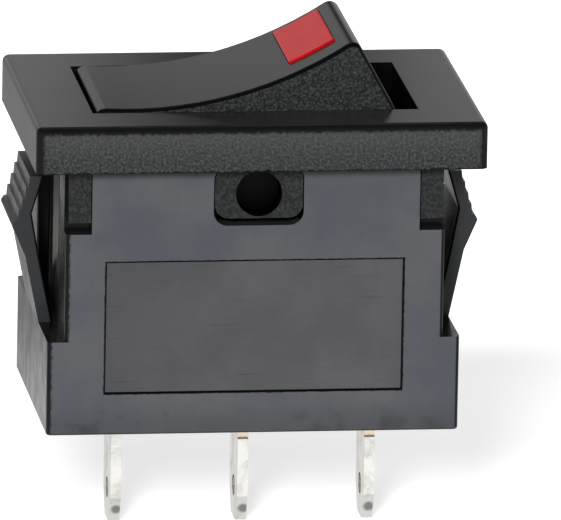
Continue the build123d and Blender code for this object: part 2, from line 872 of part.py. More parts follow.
with BuildPart() as lamp_contact_spring:
    slope = radians(half_throw)
    overhang = (contact_spring_position + contact_spring_radius) * sin(slope)
    drop = lamp_tab_depth - pivot_depth - contact_spring_gap - contact_spring_wire / 2 - overhang
    low = -drop / cos(slope)
    high = dish(contact_spring_position - contact_spring_radius, rocker_top_wall) - contact_spring_wire
    with BuildLine() as contact_coil:
        coil(-contact_spring_position, low, high, contact_spring_radius, contact_spring_turns)
    with BuildSketch(Plane(contact_coil.line @ 0, z_dir=contact_coil.line % 0)):
        RegularPolygon(contact_spring_wire / 2, wire_sides)
    sweep(path=contact_coil.line, is_frenet=True)
lamp_contact_spring.part.label = "lamp_contact_spring"


# ---------------------------------------------------------------- one STEP file for each piece

sub_parts = [
    bezel_frame,
    housing_base,
    rocker,
    rocker_lens,
    plunger,
    spring_cap,
    plunger_spring,
    terminal_lamp,
    terminal_common,
    terminal_load,
    contact_lever,
    moving_contact,
    fixed_contact,
    lamp,
    lamp_resistor,
    lead_sleeve,
    lamp_contact_spring,
]
for sub_part in sub_parts + leads:
    export_step(sub_part.part, f"parts/{sub_part.part.label}.step")
    print(sub_part.part.label, round(sub_part.part.volume, 2))
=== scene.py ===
# %% [markdown]
# # An illuminated rocker switch, dressed for a studio picture
#
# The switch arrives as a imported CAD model: twenty pieces, each in its true place, in metres. This
# lesson gives every piece its finish and sets up the floor, the light and the camera. Nearly all of
# it is black plastic, and black plastic is a lesson of its own: it has almost no colour, so what
# tells one face from the next is the grain of the mould and what the gloss reflects.

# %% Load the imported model
import json
import math

import bmesh
import bpy
from mathutils import Matrix, Vector

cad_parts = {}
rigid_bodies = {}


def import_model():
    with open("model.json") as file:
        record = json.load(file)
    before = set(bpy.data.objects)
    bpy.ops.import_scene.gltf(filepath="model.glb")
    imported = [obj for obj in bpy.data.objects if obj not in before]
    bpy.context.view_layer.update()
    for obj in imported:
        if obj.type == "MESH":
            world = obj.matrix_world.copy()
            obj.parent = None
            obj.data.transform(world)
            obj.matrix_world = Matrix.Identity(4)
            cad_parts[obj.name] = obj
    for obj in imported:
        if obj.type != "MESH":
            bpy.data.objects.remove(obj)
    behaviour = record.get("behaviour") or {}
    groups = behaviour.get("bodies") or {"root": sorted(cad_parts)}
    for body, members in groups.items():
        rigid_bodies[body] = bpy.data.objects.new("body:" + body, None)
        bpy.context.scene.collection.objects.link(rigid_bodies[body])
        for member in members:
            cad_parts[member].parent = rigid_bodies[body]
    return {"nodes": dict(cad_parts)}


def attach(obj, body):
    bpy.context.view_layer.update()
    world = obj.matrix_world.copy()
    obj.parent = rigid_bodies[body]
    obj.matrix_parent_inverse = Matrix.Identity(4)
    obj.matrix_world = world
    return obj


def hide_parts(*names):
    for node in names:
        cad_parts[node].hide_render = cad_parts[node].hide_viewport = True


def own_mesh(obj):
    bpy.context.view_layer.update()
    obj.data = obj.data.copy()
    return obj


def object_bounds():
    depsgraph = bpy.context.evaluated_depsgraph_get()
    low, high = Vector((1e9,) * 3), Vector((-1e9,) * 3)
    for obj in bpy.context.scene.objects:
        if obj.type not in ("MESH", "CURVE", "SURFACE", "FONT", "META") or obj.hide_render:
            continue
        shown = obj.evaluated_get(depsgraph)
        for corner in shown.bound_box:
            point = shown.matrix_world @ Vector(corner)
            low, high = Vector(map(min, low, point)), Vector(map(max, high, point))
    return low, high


for left_over in list(bpy.data.objects):
    bpy.data.objects.remove(left_over)
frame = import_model()
nodes = frame["nodes"]
cad_low, cad_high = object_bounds()
cad_box = [list(cad_low), list(cad_high)]
MM = 0.001
print(len(nodes), "pieces, box in mm:", [round((b - a) / MM, 2) for a, b in zip(*cad_box)])

# %% [markdown]
# ## Places that the finishes need
#
# A finish that changes along a piece has to know where the piece changes: the haze on the housing
# stops at the edge of its panel, and the grain of the bezel stops below its rim. The places could
# be typed in where each finish needs them, but then nobody knows later what a number stands for.
# So they are named here once, in millimetres. A depth is counted outwards from the middle plane.

# %% Places in millimetres
body_middle = -0.12
panel_middle_height = -7.645
panel_half_length = 6.97
panel_half_height = 3.155
ledge_height = -8.29
half_length_over_ledge = 8.85
half_length_under_ledge = 9.635
front_depth = 6.15
end_walls_from = 8.2
arms_from = 8.9
open_wall_until = 9.1
arm_backs_from = 9.15
arm_half_width = 2.5
pocket_depth = 4.9
opening_half_length = 7.6
opening_half_width = 4.65
rim_height = 1.84
grain_end = 10.16
# Where the painted highlight at both ends of the bezel begins:
painted_highlight_from = 10.15
outer_wall_depth = 5.5
pivot_height = -1.31
bore_radius = 1.72
bearing_depth = 4.75
rocker_lean = 14.6  # degrees, the tilt that the rocker is stored with
terminal_spacing = 5.97
tip_oval_height = -17.75
print("housing panel:", 2 * panel_half_length, "by", 2 * panel_half_height, "mm")

# %% [markdown]
# ## Node materials
#
# Every finish here is a small node network that reads the piece's own Object coordinates, so the
# pattern stays on the piece when it moves. Painted images would do it too, but they need unwrapped
# pieces and go soft close up. A few helpers keep the networks short: one adds a node and links its
# inputs, some do sums, and the others make the patterns that come back in many finishes, which are
# spots of a given size and a value stretched between two levels.

# %% Helpers for node networks


def add(tree, kind, inputs=None, **settings):
    """Adds a node, sets its properties, and links or sets its inputs by name or number."""
    node = tree.nodes.new(kind)
    for key, value in settings.items():
        setattr(node, key, value)
    for key, value in (inputs or {}).items():
        if isinstance(value, bpy.types.NodeSocket):
            tree.links.new(value, node.inputs[key])
        else:
            node.inputs[key].default_value = value
    return node


def calculate(tree, operation, first, second=0.0):
    return add(tree, "ShaderNodeMath", {0: first, 1: second}, operation=operation).outputs[0]


def plus(tree, first, second):
    return calculate(tree, "ADD", first, second)


def minus(tree, first, second):
    return calculate(tree, "SUBTRACT", first, second)


def times(tree, first, second):
    return calculate(tree, "MULTIPLY", first, second)


def larger(tree, first, second):
    return calculate(tree, "MAXIMUM", first, second)


def without_sign(tree, value):
    return calculate(tree, "ABSOLUTE", value)


def either(tree, choice, first, second):
    """The first value where the choice is 0, the second where it is 1, and a mix between."""
    return add(tree, "ShaderNodeMix", {0: choice, 2: first, 3: second}).outputs[0]


def ramp(tree, value, low, high, to_low=0.0, to_high=1.0):
    """Stretches a value between two levels, smoothly."""
    node = add(
        tree,
        "ShaderNodeMapRange",
        {"Value": value, 1: low, 2: high, 3: to_low, 4: to_high},
        interpolation_type="SMOOTHSTEP",
    )
    return node.outputs["Result"]


print("number helpers ready")

# %% Helpers for patterns and colours


def spots(tree, place, size_mm, detail=2.0, roughness=0.5, distortion=0.0):
    """Noise whose spots are about this large."""
    inputs = {
        "Vector": place,
        "Scale": 1 / (size_mm * MM),
        "Detail": detail,
        "Roughness": roughness,
        "Distortion": distortion,
    }
    return add(tree, "ShaderNodeTexNoise", inputs).outputs["Fac"]


def blend_colours(tree, factor, first, second):
    node = add(tree, "ShaderNodeMix", data_type="RGBA")
    for key, value in ((0, factor), (6, first), (7, second)):
        if isinstance(value, bpy.types.NodeSocket):
            tree.links.new(value, node.inputs[key])
        else:
            node.inputs[key].default_value = value
    return node.outputs[2]


def rgb(red, green, blue):
    """A colour given as on a screen, 0 to 255, turned into the linear values that shaders use."""
    linear = []
    for value in (red, green, blue):
        level = value / 255
        linear.append(level / 12.92 if level <= 0.04045 else ((level + 0.055) / 1.055) ** 2.4)
    return (*linear, 1.0)


def start(name):
    """A new material: its node tree, its Principled shader and its Object coordinates."""
    material = bpy.data.materials.new(name)
    material.use_nodes = True
    tree = material.node_tree
    shader = tree.nodes["Principled BSDF"]
    place = add(tree, "ShaderNodeTexCoord")
    return material, tree, shader, place


def emboss(tree, shader, strength, deep_mm, height):
    """Gives the surface a fine relief, as deep as the distance says."""
    inputs = {"Strength": strength, "Distance": deep_mm * MM, "Height": height}
    bump = add(tree, "ShaderNodeBump", inputs)
    tree.links.new(bump.outputs["Normal"], shader.inputs["Normal"])


print("pattern helpers ready")

# %% [markdown]
# ## Which way does the surface face?
#
# A mould isn't finished the same all over. Spark erosion leaves its side walls grained, its flat
# top is stoned to a satin, and the rounded edges between them are polished. So one material needs
# to know which of these it is on. Each face could be given a material slot of its own, but the
# model comes as one closed skin. The object-space normal tells it just as well: a wall faces along
# one axis, and a rounded edge faces between two.

# %% Faces and rounded edges


def facing(tree, place, turned=0.0):
    """How squarely the surface faces along each axis of the piece, from -1 to 1. Turned, in
    degrees, puts the axes of a piece that is stored tilted about Y upright first."""
    upright = add(
        tree,
        "ShaderNodeVectorRotate",
        {"Vector": place.outputs["Normal"], "Angle": math.radians(turned)},
        rotation_type="Y_AXIS",
    )
    return add(tree, "ShaderNodeSeparateXYZ", {0: upright.outputs[0]}).outputs


def squarely(tree, part, raggedness=0.0, start_at=0.9, full_at=0.97):
    """1 on faces square to an axis and 0 on the edges that turn away from it."""
    return ramp(tree, plus(tree, without_sign(tree, part), raggedness), start_at, full_at)


print("face helpers ready")

# %% [markdown]
# ## Where on the piece is it?
#
# The other half of the question is where a point lies. The helpers below turn the coordinates into
# millimetres and make masks from them: 1 inside an area and 0 outside, with a soft border. Masks
# are then put together by multiplying them. It works like cutting stencils, and it needs no
# painting by hand.

# %% Places on a piece


def millimetres(tree, place):
    """The three coordinates of a point on the piece, in millimetres."""
    inputs = {0: place.outputs["Object"], "Scale": 1 / MM}
    scaled = add(tree, "ShaderNodeVectorMath", inputs, operation="SCALE")
    return add(tree, "ShaderNodeSeparateXYZ", {0: scaled.outputs[0]}).outputs


def beyond(tree, value, limit, soft=0.05):
    """1 where a value is over a limit and 0 where it is under it, with a soft edge."""
    return ramp(tree, value, limit - soft, limit + soft)


def distance_from(tree, value, middle):
    return without_sign(tree, minus(tree, value, middle))


def both(tree, *masks):
    """The product of several masks: 1 only where all of them are."""
    result = masks[0]
    for mask in masks[1:]:
        result = times(tree, result, mask)
    return result


def no(tree, mask):
    return minus(tree, 1.0, mask)


def within(tree, value, limit, soft=0.05):
    """1 where a value is under a limit and 0 where it is over it, with a soft edge."""
    return no(tree, beyond(tree, value, limit, soft))


print("place helpers ready")

# %% [markdown]
# ## Moulded plastic for the bezel and the rocker
#
# The pigment is as good as black. The top is satin, with a faint haze, and softly mirrors a pale
# card behind the switch. The grained walls scatter the light, so they look dark grey, with a fine
# even sparkle of painted glints, and the polished edges stay almost black. One roughness for the
# whole piece would be simpler, but then walls and top would differ only by the light on them, and
# that is what makes black plastic look like a drawing of itself.

# %% What both plastics share
# Painted shade: near black for the lug holes and the trunnion ends, where no light gets in.
painted_bore_shade = rgb(1, 1, 1)


def grained_wall(tree, here, grain, dark, light):
    """The grey of a spark-eroded wall: a fine even grain with a few painted glints."""
    deep, high = rgb(dark, dark + 2, dark + 2), rgb(light, light + 2, light + 2)
    colour = blend_colours(tree, ramp(tree, grain, 0.34, 0.8), deep, high)
    # Painted highlight: a few noise peaks are painted pale grey as glints.
    spark = ramp(tree, spots(tree, here, 0.1, 1.0), 0.76, 0.88, 0.0, 0.6)
    return blend_colours(tree, spark, colour, rgb(110, 112, 114))


def hazy_top(tree, cloud):
    return blend_colours(tree, ramp(tree, cloud, 0.35, 0.65), rgb(34, 34, 34), rgb(43, 43, 43))


def satin_and_grain(tree, shader, colour, walls, cloud, grain):
    """Finishes the shader: rough grained walls, and satin everywhere else."""
    tree.links.new(colour, shader.inputs["Base Color"])
    satin = ramp(tree, cloud, 0.3, 0.7, 0.19, 0.22)
    tree.links.new(either(tree, walls, satin, 0.6), shader.inputs["Roughness"])
    shader.inputs["IOR"].default_value = 1.32
    emboss(tree, shader, plus(tree, times(tree, walls, 0.5), 0.02), 0.02, grain)


print("shared plastic ready")

# %% [markdown]
# ## The bezel
#
# The bezel has the most to tell apart: grained walls between a polished rim and a dark foot line,
# paler towards the rim, a hazy top that ends raggedly at the opening, and a painted highlight on
# the rounded edges at both ends. Below the flange its tabs and lugs stand in shadow, which is
# painted into their grey as painted shade, and the holes in the lugs are painted all but black as
# shade, because no light finds its way in. One even grain all over would be less work, but a real
# moulding is never as even as that along its edges.

# %% Bezel plastic


def bezel_walls(tree, face_y, ragged, height, along, z, depth):
    """The grained part of the long walls, without the rim, the foot line and the ends."""
    foot = both(tree, beyond(tree, z, -0.03, 0.02), within(tree, height, 0.06, 0.04))
    return both(
        tree,
        squarely(tree, face_y, ragged),
        within(tree, height, rim_height, 0.09),
        beyond(tree, depth, outer_wall_depth),
        no(tree, foot),
        within(tree, along, grain_end, 0.1),
    )


def around_opening(tree, x, depth, uneven):
    """1 on the top and 0 in a ragged fringe along the edge of the opening."""
    past_end = minus(tree, without_sign(tree, x), opening_half_length)
    past_side = minus(tree, depth, opening_half_width)
    outside = plus(tree, larger(tree, past_end, past_side), times(tree, uneven, 0.45))
    return beyond(tree, outside, 0.1, 0.05)


def lug_bore(tree, x, z, depth):
    """1 in the holes that the rocker turns in."""
    rise = minus(tree, z, pivot_height)
    from_pivot = calculate(tree, "SQRT", plus(tree, times(tree, x, x), times(tree, rise, rise)))
    return both(tree, within(tree, from_pivot, bore_radius), beyond(tree, depth, pocket_depth))


def bezel_finish(name):
    material, tree, shader, place = start(name)
    here = place.outputs["Object"]
    x, y, z = millimetres(tree, place)
    face = facing(tree, place)
    depth = without_sign(tree, y)
    uneven = minus(tree, spots(tree, here, 0.3, 4.0, 0.65), 0.5)
    ragged = times(tree, uneven, 0.12)
    wavy = times(tree, uneven, 0.35)
    height = plus(tree, z, wavy)
    along = plus(tree, without_sign(tree, x), wavy)
    cloud = spots(tree, here, 3.2, 4.0, 0.6)
    grain = spots(tree, here, 0.125, 3.0, 0.55)

    walls = bezel_walls(tree, face["Y"], ragged, height, along, z, depth)
    wall_grey = grained_wall(tree, here, grain, 37, 80)
    # The walls turn paler towards the rim.
    paler_upwards = ramp(tree, z, 0.2, 1.9, 0.0, 0.26)
    wall_grey = blend_colours(tree, paler_upwards, wall_grey, rgb(88, 90, 92))
    # Painted shade: below the flange the tabs and lugs are darkened halfway to near black.
    painted_shade_below_flange = times(tree, within(tree, z, -0.02, 0.03), 0.5)
    wall_grey = blend_colours(tree, painted_shade_below_flange, wall_grey, rgb(22, 23, 24))

    # Painted highlight: the rounded edges and end faces at both ends of the bezel are painted pale
    # grey.
    painted_end_highlight = both(tree, beyond(tree, along, painted_highlight_from, 0.08), within(tree, depth, 6.9, 0.35))
    edges = blend_colours(tree, painted_end_highlight, rgb(17, 17, 17), rgb(88, 88, 87))
    flat_top = squarely(tree, face["Z"], ragged, 0.8, 0.92)
    top = both(tree, flat_top, around_opening(tree, x, depth, uneven))
    colour = blend_colours(tree, top, edges, hazy_top(tree, cloud))
    colour = blend_colours(tree, walls, colour, wall_grey)
    # Painted shade: the holes in the lugs are painted near black.
    bore = both(tree, no(tree, walls), lug_bore(tree, x, z, depth))
    colour = blend_colours(tree, bore, colour, painted_bore_shade)
    satin_and_grain(tree, shader, colour, walls, cloud, grain)
    return material


bezel_plastic = bezel_finish("bezel_plastic")
print("bezel:", bezel_plastic.name)

# %% [markdown]
# ## The rocker
#
# The rocker comes from the same plastic, and its flanks from the same kind of mould, a little
# darker. It is stored tilted, with one end pressed, so its own upright is leaned back first, or its
# flat faces wouldn't be found. The ends of its trunnions, which turn inside the bezel's lugs, are
# painted pitch black as painted shade, because no light reaches them there.

# %% Rocker plastic


def rocker_finish(name):
    material, tree, shader, place = start(name)
    here = place.outputs["Object"]
    depth = without_sign(tree, millimetres(tree, place)["Y"])
    face = facing(tree, place, rocker_lean)
    ragged = times(tree, minus(tree, spots(tree, here, 0.3, 4.0, 0.65), 0.5), 0.12)
    cloud = spots(tree, here, 3.2, 4.0, 0.6)
    grain = spots(tree, here, 0.125, 3.0, 0.55)
    walls = squarely(tree, face["Y"], ragged)
    top = squarely(tree, face["Z"], ragged, 0.88, 0.96)
    colour = blend_colours(tree, top, rgb(9, 9, 9), hazy_top(tree, cloud))
    colour = blend_colours(tree, walls, colour, grained_wall(tree, here, grain, 28, 72))
    # Painted shade: the trunnion ends, deep in the bezel's lugs, are painted near black.
    colour = blend_colours(tree, beyond(tree, depth, bearing_depth), colour, painted_bore_shade)
    satin_and_grain(tree, shader, colour, walls, cloud, grain)
    return material


rocker_plastic = rocker_finish("rocker_plastic")
print("rocker:", rocker_plastic.name)

# %% [markdown]
# ## The housing: smooth nylon
#
# The base comes smooth from a polished mould. On its two broad outer faces a grey-blue bloom has
# settled, cloudy, less blue on the sunk panel, with long thin scratches there and smudges along the
# foot. The bloom stops in a dark line at the panel's groove, and the four corners are kept dark as
# a painted dark reflection, wider at the left end. A decal of such wear would look the same on
# every copy of the part. Noise at several sizes gives each area its own.

# %% Haze, scratches and smudges on the outer faces


def past_panel(tree, x, z):
    """How far a point is past the panel's ends and past its long sides: under 0 inside them."""
    past_end = minus(tree, distance_from(tree, x, body_middle), panel_half_length)
    past_level = minus(tree, distance_from(tree, z, panel_middle_height), panel_half_height)
    return past_end, past_level


def scratches(tree, here, tilt):
    """Long thin streaks, tilted by so many degrees: noise that is stretched along X."""
    stretched = {
        "Vector": here,
        "Rotation": (0.0, math.radians(tilt), 0.0),
        "Scale": (0.025, 1.0, 1.0),
    }
    turned = add(tree, "ShaderNodeMapping", stretched).outputs["Vector"]
    return ramp(tree, spots(tree, turned, 0.09, 2.0), 0.66, 0.74, 0.0, 0.4)


def hazed_face(tree, here, x, z):
    """The grey bloom of the front and back: cloudy, bluer in places, with thin long scratches."""
    cloud = spots(tree, here, 3.6, 4.0, 0.6)
    colour = blend_colours(tree, ramp(tree, cloud, 0.36, 0.64), rgb(75, 78, 84), rgb(85, 86, 89))
    past_end, past_level = past_panel(tree, x, z)
    panel = both(tree, within(tree, past_end, 0.0), within(tree, past_level, 0.0))
    worn = blend_colours(tree, ramp(tree, cloud, 0.34, 0.66), rgb(75, 75, 78), rgb(83, 82, 84))
    worn = blend_colours(tree, ramp(tree, x, -7.0, 0.0, 0.4, 0.0), worn, rgb(62, 64, 68))
    colour = blend_colours(tree, panel, colour, worn)
    for tilt in (5, -6):
        scratched = both(tree, panel, scratches(tree, here, tilt))
        colour = blend_colours(tree, scratched, colour, rgb(44, 45, 48))
    low_down = ramp(tree, z, -12.5, -11.0, 1.0, 0.0)
    colour = blend_colours(tree, times(tree, low_down, 0.56), colour, rgb(58, 60, 63))
    smudge = both(tree, low_down, ramp(tree, spots(tree, here, 1.3, 3.0), 0.5, 0.72, 0.0, 0.5))
    return blend_colours(tree, smudge, colour, rgb(30, 31, 34))


def groove_line_and_painted_corners(tree, x, z, uneven):
    """Where the haze is left out: a dark line along the panel's edge, and a painted dark reflection
    up the four corners, wider on the left.
    """
    border = without_sign(tree, larger(tree, *past_panel(tree, x, z)))
    line = within(tree, plus(tree, border, times(tree, uneven, 0.12)), 0.035, 0.02)
    over_ledge = beyond(tree, z, ledge_height, 0.01)
    half_length = either(tree, over_ledge, half_length_under_ledge, half_length_over_ledge)
    inset = minus(tree, half_length, distance_from(tree, x, body_middle))
    wavering = plus(tree, inset, times(tree, uneven, 0.35))
    # Painted dark reflection: the corners are kept dark, in a wider band at the left end.
    width = ramp(tree, x, -1.0, 1.0, 0.2, 0.04)
    corner = no(tree, ramp(tree, minus(tree, wavering, width), -0.08, 0.1))
    return larger(tree, line, corner)


print("haze ready")

# %% [markdown]
# ## The housing's sides and snap arms
#
# Off the two hazed faces the nylon is bare. It is darkest inside and in the notches, and greyer on
# the end walls and on the outer faces of the arms. The floors of the pockets that the bezel's lugs
# stand over are painted a paler grey, as painted light in their shade. One strip of the end wall
# behind the left arm is painted almost white, as a painted reflection of the bright backdrop, and
# it ends below at a slanted edge.

# %% End walls and arms


def outer_sides(tree, face_x, x):
    """1 on the outer faces at both ends of the housing, and 0 on the inner faces."""
    outward = beyond(tree, times(tree, face_x, x), 1.0)
    outermost = beyond(tree, distance_from(tree, x, body_middle), end_walls_from)
    return both(tree, squarely(tree, face_x, 0.0, 0.84, 0.94), outward, outermost)


def pocket_floors_and_painted_light(tree, face_z, x, z, depth):
    """Upward faces under the bezel's lugs and tabs, and the paler grey painted on them as light
    against their shade.
    """
    floors = both(
        tree,
        beyond(tree, face_z, 0.7),
        beyond(tree, depth, pocket_depth),
        beyond(tree, z, -6.0),
    )
    # Painted light: the pocket floors are lifted to grey, paler under the lugs, so they show out of
    # the shade.
    under_lug = within(tree, without_sign(tree, x), 5.0)
    return floors, blend_colours(tree, under_lug, rgb(34, 34, 35), rgb(51, 52, 53))


def end_colours(tree, face, x, y, z, uneven):
    """The bare plastic of the housing, from its notches to its end walls and arms."""
    depth = without_sign(tree, y)
    out = distance_from(tree, x, body_middle)
    floors, painted_floor_light = pocket_floors_and_painted_light(tree, face["Z"], x, z, depth)
    colour = blend_colours(tree, floors, rgb(8, 9, 9), painted_floor_light)
    sides = outer_sides(tree, face["X"], x)
    colour = blend_colours(tree, sides, colour, rgb(58, 59, 61))
    upper_sides = both(tree, sides, beyond(tree, z, -8.2))
    slant = plus(tree, times(tree, y, 0.45), z)
    open_wall = both(
        tree,
        upper_sides,
        ramp(tree, plus(tree, slant, uneven), -6.0, -5.2),
        no(tree, ramp(tree, plus(tree, depth, uneven), 5.5, 6.0)),
        within(tree, out, open_wall_until),
    )
    colour = blend_colours(tree, open_wall, colour, rgb(38, 38, 36))
    # Painted reflection: a near-white strip on the wall behind the left arm only, ending below at
    # the slanted edge.
    strip = both(tree, beyond(tree, y, 0.5), within(tree, y, 2.7), within(tree, x, 0.0))
    colour = blend_colours(tree, both(tree, open_wall, strip), colour, rgb(226, 224, 217))
    arm_backs = both(tree, upper_sides, beyond(tree, out, arm_backs_from))
    colour = blend_colours(tree, arm_backs, colour, rgb(78, 78, 77))
    arm_flanks = both(
        tree,
        squarely(tree, face["Y"]),
        within(tree, distance_from(tree, depth, arm_half_width), 0.1),
        beyond(tree, out, arms_from),
    )
    return blend_colours(tree, arm_flanks, colour, rgb(46, 48, 50))


print("ends ready")

# %% [markdown]
# ## The housing put together
#
# Bare plastic, bloom and dark lines now come together in one material. The gloss is uneven, as on
# any smooth moulding that has been handled. It could be three materials, one for each kind of face,
# but the body is one moulding and their borders are soft.

# %% Smooth housing plastic


def housing_finish(name):
    material, tree, shader, place = start(name)
    here = place.outputs["Object"]
    x, y, z = millimetres(tree, place)
    face = facing(tree, place)
    uneven = minus(tree, spots(tree, here, 0.22, 4.0, 0.7), 0.5)
    broad_faces = both(
        tree,
        squarely(tree, face["Y"]),
        beyond(tree, without_sign(tree, y), front_depth, 0.02),
        no(tree, groove_line_and_painted_corners(tree, x, z, uneven)),
    )
    colour = end_colours(tree, face, x, y, z, uneven)
    colour = blend_colours(tree, broad_faces, colour, hazed_face(tree, here, x, z))
    tree.links.new(colour, shader.inputs["Base Color"])
    rough = ramp(tree, spots(tree, here, 1.2, 3.0), 0.3, 0.7, 0.14, 0.24)
    tree.links.new(rough, shader.inputs["Roughness"])
    shader.inputs["IOR"].default_value = 1.38
    emboss(tree, shader, 0.08, 0.03, uneven)
    return material


housing_plastic = housing_finish("housing_plastic")
print("housing:", housing_plastic.name)

# %% [markdown]
# ## Tinned terminals and the other metals
#
# Tin plate on brass is bright and a little warm. It is never even: it has cloudy patches, a grain
# along the strip, and a grey oval near each tip. Where two of the terminals are nicked, high up,
# the brass shows. A mirror-like metal would be easier, but on a small part it only repeats the
# room. All the metals share one function and differ in their two colours.

# %% Metals


def grey_tip_oval(tree, x, y, z, tip, patch):
    """The grey oval near the tip of each terminal, which stand one spacing apart."""
    count = calculate(tree, "ROUND", calculate(tree, "DIVIDE", x, terminal_spacing))
    middle = plus(tree, times(tree, count, terminal_spacing), 0.16)
    apart = {0: distance_from(tree, x, middle), 1: distance_from(tree, z, tip)}
    apart = add(tree, "ShaderNodeCombineXYZ", apart).outputs[0]
    off = add(tree, "ShaderNodeVectorMath", {0: apart}, operation="LENGTH").outputs["Value"]
    oval = ramp(tree, plus(tree, off, times(tree, patch, 0.3)), 0.28, 0.48, 1.0, 0.0)
    return both(tree, oval, beyond(tree, without_sign(tree, y), 0.9))


def metal(name, bright, dull, patch_mm=0.7, rough=(0.22, 0.42), tip=None, bare=None):
    """Tip is the height of a grey oval near the tip, and bare the height above which brass shows.
    """
    material, tree, shader, place = start(name)
    here = place.outputs["Object"]
    x, y, z = millimetres(tree, place)
    patch = spots(tree, here, patch_mm, 4.0, 0.65, 0.4)
    along = add(tree, "ShaderNodeMapping", {"Vector": here, "Scale": (1.0, 1.0, 0.12)})
    line = spots(tree, along.outputs["Vector"], 0.08, 3.0)
    colour = blend_colours(tree, ramp(tree, patch, 0.45, 0.7), bright, dull)
    if tip:
        mark = times(tree, grey_tip_oval(tree, x, y, z, tip, patch), 0.8)
        colour = blend_colours(tree, mark, colour, rgb(112, 116, 116))
    if bare:
        colour = blend_colours(tree, beyond(tree, z, bare, 0.03), colour, rgb(248, 226, 202))
    tree.links.new(colour, shader.inputs["Base Color"])
    shader.inputs["Metallic"].default_value = 1.0
    tree.links.new(ramp(tree, patch, 0.35, 0.7, *rough), shader.inputs["Roughness"])
    emboss(tree, shader, 0.12, 0.04, plus(tree, times(tree, line, 0.35), patch))
    return material


tin = {
    "bright": rgb(254, 252, 247),
    "dull": rgb(228, 225, 217),
    "patch_mm": 1.3,
    "rough": (0.2, 0.28),
}
tinned_brass = metal("tinned_brass", tip=tip_oval_height, **tin)
nicked_brass = metal("nicked_brass", tip=tip_oval_height - 0.05, bare=-14.33, **tin)
lever_copper = metal("lever_copper", rgb(214, 160, 116), rgb(170, 116, 80))
contact_silver = metal("contact_silver", rgb(232, 231, 226), rgb(190, 188, 180), 0.4)
spring_steel = metal("spring_steel", rgb(196, 197, 200), rgb(150, 151, 154), 0.3)
cap_brass = metal("spring_cap_brass", rgb(222, 190, 116), rgb(180, 146, 82), 0.5)
lead_wire = metal("lead_wire", rgb(214, 212, 206), rgb(176, 172, 164), 0.3)
metals = (tinned_brass, nicked_brass, lever_copper, contact_silver, spring_steel, cap_brass)
print("metals:", ", ".join(finish.name for finish in (*metals, lead_wire)))

# %% [markdown]
# ## The red lamp window
#
# The window is a red moulding, glossy and softly cloudy, deeper at its rounded flanks. With the
# lamp off it looks almost solid, so it needs no see-through shader, which would also show the
# inside of the rocker as a black hole. A low index of refraction keeps the gloss from washing out
# the red.

# %% Red window


def window_finish(name):
    material, tree, shader, place = start(name)
    here = place.outputs["Object"]
    cloud = ramp(tree, spots(tree, here, 1.1, 2.0), 0.35, 0.65)
    colour = blend_colours(tree, cloud, rgb(224, 22, 29), rgb(213, 26, 33))
    flank = squarely(tree, facing(tree, place)["Y"], 0.0, 0.3, 0.8)
    colour = blend_colours(tree, flank, colour, rgb(176, 12, 20))
    tree.links.new(colour, shader.inputs["Base Color"])
    shader.inputs["Roughness"].default_value = 0.18
    shader.inputs["IOR"].default_value = 1.2
    emboss(tree, shader, 0.08, 0.03, spots(tree, here, 0.6))
    return material


lens_red = window_finish("lens_red")
print("window:", lens_red.name)

# %% [markdown]
# ## Small inner parts
#
# They show only when the rocker is taken out, but each still has its own finish: clear glass for
# the lamp, a painted body for the resistor, soft white tube for the sleeve, and slippery off-white
# plastic for the plunger. The resistor's bands are drawn by distance along its body, the way a
# lathe would paint them.

# %% Plain plastics and the banded resistor


def plain_plastic(name, first, second, rough):
    material, tree, shader, place = start(name)
    cloud = spots(tree, place.outputs["Object"], 0.8, 3.0)
    tree.links.new(blend_colours(tree, cloud, first, second), shader.inputs["Base Color"])
    shader.inputs["Roughness"].default_value = rough
    emboss(tree, shader, 0.1, 0.03, cloud)
    return material


def banded_body(name):
    """Tan paint with the coloured bands that tell a resistor's value."""
    material, tree, shader, place = start(name)
    along = millimetres(tree, place)["Y"]
    mottle = spots(tree, place.outputs["Object"], 0.5)
    colour = blend_colours(tree, mottle, rgb(196, 168, 128), rgb(178, 150, 112))
    bands = ((-0.9, rgb(40, 40, 42)), (-0.3, rgb(196, 120, 40)), (0.3, rgb(216, 196, 60)))
    for centre, paint in bands:
        band = ramp(tree, distance_from(tree, along, centre), 0.14, 0.17, 1.0, 0.0)
        colour = blend_colours(tree, band, colour, paint)
    tree.links.new(colour, shader.inputs["Base Color"])
    shader.inputs["Roughness"].default_value = 0.35
    return material


plunger_plastic = plain_plastic("plunger_plastic", rgb(226, 222, 210), rgb(206, 202, 190), 0.3)
sleeve_plastic = plain_plastic("sleeve_plastic", rgb(232, 231, 226), rgb(214, 213, 208), 0.45)
resistor_body = banded_body("resistor_body")
print("inner plastics ready")

# %% [markdown]
# ## Glass of the lamp
#
# The lamp is a little sealed bulb. It lets three quarters of the light through and keeps a warm
# tint, so that it can be found against the white sleeve. Fully clear glass would vanish in there.

# %% Glass of the lamp


def glass_finish(name):
    material, tree, shader, place = start(name)
    cloud = spots(tree, place.outputs["Object"], 0.6)
    tint = blend_colours(tree, cloud, rgb(246, 240, 232), rgb(232, 226, 220))
    tree.links.new(tint, shader.inputs["Base Color"])
    shader.inputs["Roughness"].default_value = 0.08
    shader.inputs["Transmission Weight"].default_value = 0.75
    shader.inputs["IOR"].default_value = 1.5
    return material


lamp_glass = glass_finish("lamp_glass")
print("glass:", lamp_glass.name)

# %% [markdown]
# ## Handing out the finishes
#
# Each piece keeps its CAD mesh and only gets a new material in its slot. A table of piece and
# finish is plainer than a line of code for each, and it shows at a glance that none is left out.

